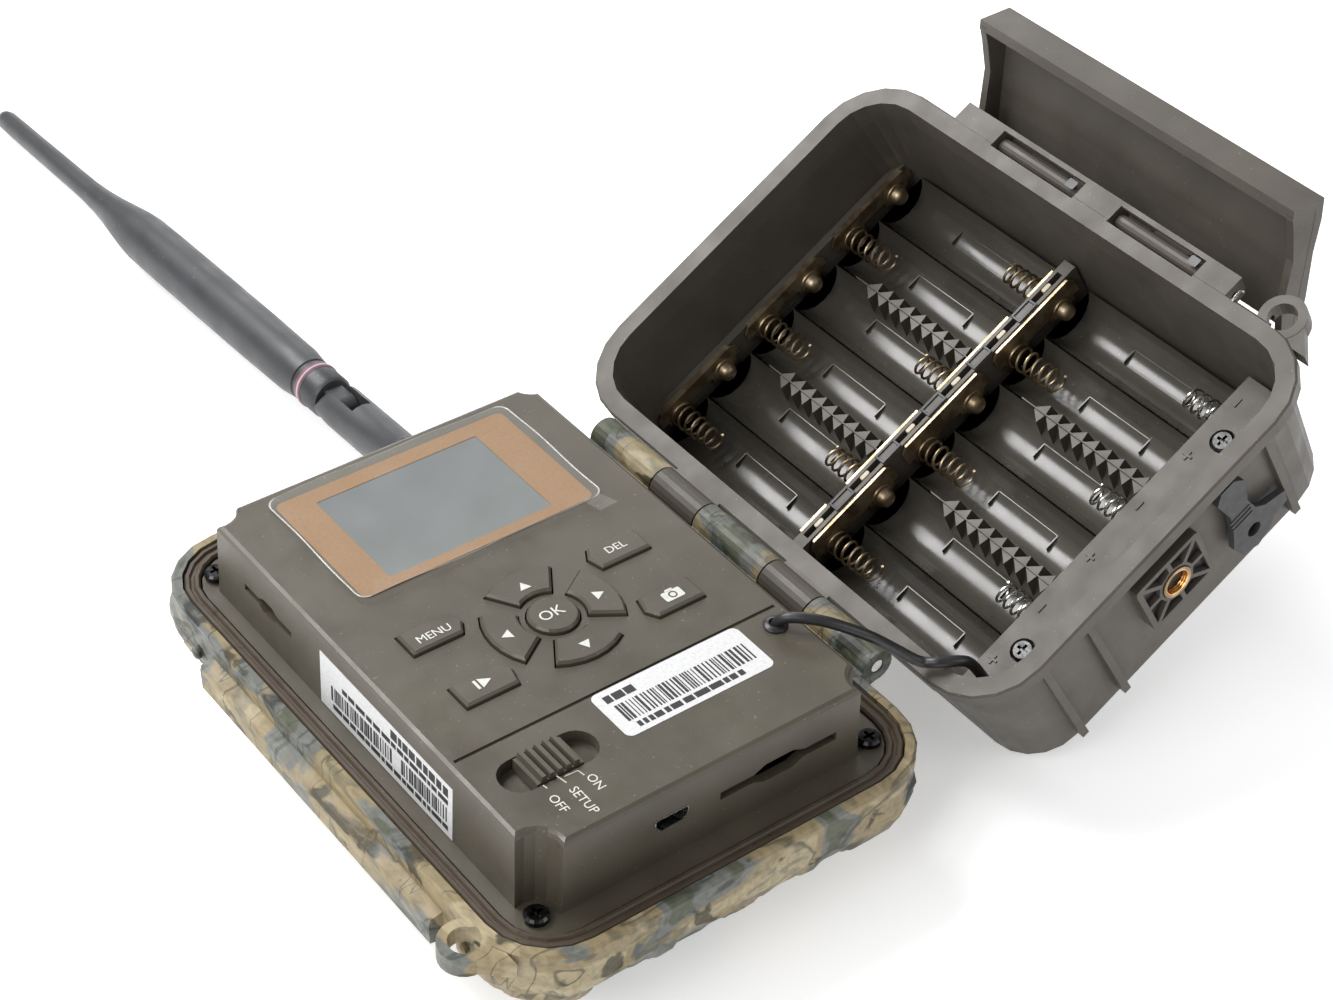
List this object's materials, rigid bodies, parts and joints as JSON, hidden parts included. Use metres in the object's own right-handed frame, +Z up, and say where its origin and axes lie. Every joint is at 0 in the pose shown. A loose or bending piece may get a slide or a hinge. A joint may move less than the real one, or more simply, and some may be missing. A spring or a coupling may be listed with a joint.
{
  "type": "trail camera",
  "caption": "Clamshell trail camera lying open: camouflaged front half with screen and keypad, hinged battery half with cell bays, draw latch and a folding rod antenna.",
  "frame": {"origin": "centre of the flat front face that the camera lies on", "axes": "+Y along the body towards the antenna, +X towards the lid hinge, +Z up out of the open front half"},
  "size_m": [0.2255, 0.3635, 0.1091],
  "materials": {
    "camouflage": "painted camouflage pattern, matte",
    "brown_plastic": "fine matte texture",
    "dark_plastic": "matte",
    "rubber": "matte",
    "seal": "satin",
    "steel": "plain",
    "brass": "bright",
    "dark_glass": "smoked",
    "milky_plastic": "translucent",
    "display": "satin",
    "screen_label": "satin",
    "film": "clear protective film",
    "circuit_board": "solder mask"
  },
  "bodies": {
    "front": {"front_shell": "camouflage", "rim_seal": "seal", "module_cover": "brown_plastic", "cover_screw_1": "dark_plastic", "cover_screw_2": "dark_plastic", "cover_screw_3": "dark_plastic", "cover_screw_4": "dark_plastic", "display_panel": "display", "display_window": "screen_label", "display_film": "film", "main_board": "circuit_board", "sensor_board": "circuit_board", "camera_lens": "dark_plastic", "lens_window": "dark_glass", "infrared_window": "dark_glass", "motion_lens": "milky_plastic", "motion_sensor": "steel", "hinge_pin": "steel", "lid_wire": "rubber"},
    "key_ok": {"key_ok": "brown_plastic"},
    "key_right": {"key_right": "brown_plastic"},
    "key_up": {"key_up": "brown_plastic"},
    "key_left": {"key_left": "brown_plastic"},
    "key_down": {"key_down": "brown_plastic"},
    "key_menu": {"key_menu": "brown_plastic"},
    "key_delete": {"key_delete": "brown_plastic"},
    "key_camera": {"key_camera": "brown_plastic"},
    "key_play": {"key_play": "brown_plastic"},
    "mode_switch": {"mode_switch": "brown_plastic"},
    "antenna_base": {"antenna_base": "dark_plastic", "antenna_pin": "steel"},
    "antenna_mast": {"antenna_mast": "dark_plastic"},
    "battery": {"battery_case": "brown_plastic", "cell_divider": "brown_plastic", "upper_end_contact_1": "brass", "upper_end_contact_2": "brass", "upper_end_contact_3": "brass", "upper_divider_contact_1": "brass", "upper_divider_contact_2": "brass", "upper_divider_contact_3": "brass", "upper_divider_contact_4": "brass", "lower_divider_contact_1": "brass", "lower_divider_contact_2": "brass", "lower_divider_contact_3": "brass", "lower_end_contact_1": "steel", "lower_end_contact_2": "steel", "lower_end_contact_3": "steel", "lower_end_contact_4": "steel", "contact_bar": "brown_plastic", "bar_screw_1": "dark_plastic", "bar_screw_2": "dark_plastic", "power_jack": "dark_plastic", "tripod_insert": "brass", "link_pin": "steel"},
    "power_plug": {"power_plug": "rubber"},
    "latch_link": {"latch_link": "brown_plastic", "flap_pin": "steel"},
    "latch_flap": {"latch_flap": "brown_plastic"}
  },
  "joints": [
    {"name": "lid_hinge", "type": "hinge", "parent": "front", "child": "battery", "pos_m": [0.0562, 0, 0.03], "axis": [0, 1, 0], "range_deg": [-148.3, 0], "deforming": ["lid_wire"]},
    {"name": "latch_link_hinge", "type": "hinge", "parent": "battery", "child": "latch_link", "pos_m": [0.15168, 0, 0.08474], "axis": [0, -1, 0], "range_deg": [-8, 45]},
    {"name": "latch_flap_hinge", "type": "hinge", "parent": "latch_link", "child": "latch_flap", "pos_m": [0.1611, 0, 0.0773], "axis": [0, 1, 0], "range_deg": [-38, 90]},
    {"name": "antenna_swivel", "type": "hinge", "parent": "front", "child": "antenna_base", "pos_m": [0.0218, 0.0719, 0.0176], "axis": [0, 0.9981, -0.061], "continuous": true},
    {"name": "antenna_tilt", "type": "hinge", "parent": "antenna_base", "child": "antenna_mast", "pos_m": [0.0218, 0.10983, 0.01528], "axis": [1, 0, 0], "range_deg": [0, 90]},
    {"name": "key_ok_press", "type": "slide", "parent": "front", "child": "key_ok", "axis": [0, 0, -1], "range_m": [0, 0.0005], "stiffness_N_per_m": 500},
    {"name": "key_right_press", "type": "slide", "parent": "front", "child": "key_right", "axis": [0, 0, -1], "range_m": [0, 0.0005], "stiffness_N_per_m": 500},
    {"name": "key_up_press", "type": "slide", "parent": "front", "child": "key_up", "axis": [0, 0, -1], "range_m": [0, 0.0005], "stiffness_N_per_m": 500},
    {"name": "key_left_press", "type": "slide", "parent": "front", "child": "key_left", "axis": [0, 0, -1], "range_m": [0, 0.0005], "stiffness_N_per_m": 500},
    {"name": "key_down_press", "type": "slide", "parent": "front", "child": "key_down", "axis": [0, 0, -1], "range_m": [0, 0.0005], "stiffness_N_per_m": 500},
    {"name": "key_menu_press", "type": "slide", "parent": "front", "child": "key_menu", "axis": [0, 0, -1], "range_m": [0, 0.0005], "stiffness_N_per_m": 500},
    {"name": "key_delete_press", "type": "slide", "parent": "front", "child": "key_delete", "axis": [0, 0, -1], "range_m": [0, 0.0005], "stiffness_N_per_m": 500},
    {"name": "key_camera_press", "type": "slide", "parent": "front", "child": "key_camera", "axis": [0, 0, -1], "range_m": [0, 0.0005], "stiffness_N_per_m": 500},
    {"name": "key_play_press", "type": "slide", "parent": "front", "child": "key_play", "axis": [0, 0, -1], "range_m": [0, 0.0005], "stiffness_N_per_m": 500},
    {"name": "mode_switch_slide", "type": "slide", "parent": "front", "child": "mode_switch", "axis": [1, 0, 0], "range_m": [-0.0026, 0.0026]},
    {"name": "power_plug_pull", "type": "slide", "parent": "battery", "child": "power_plug", "axis": [0, -1, 0], "range_m": [0, 0.008]}
  ]
}
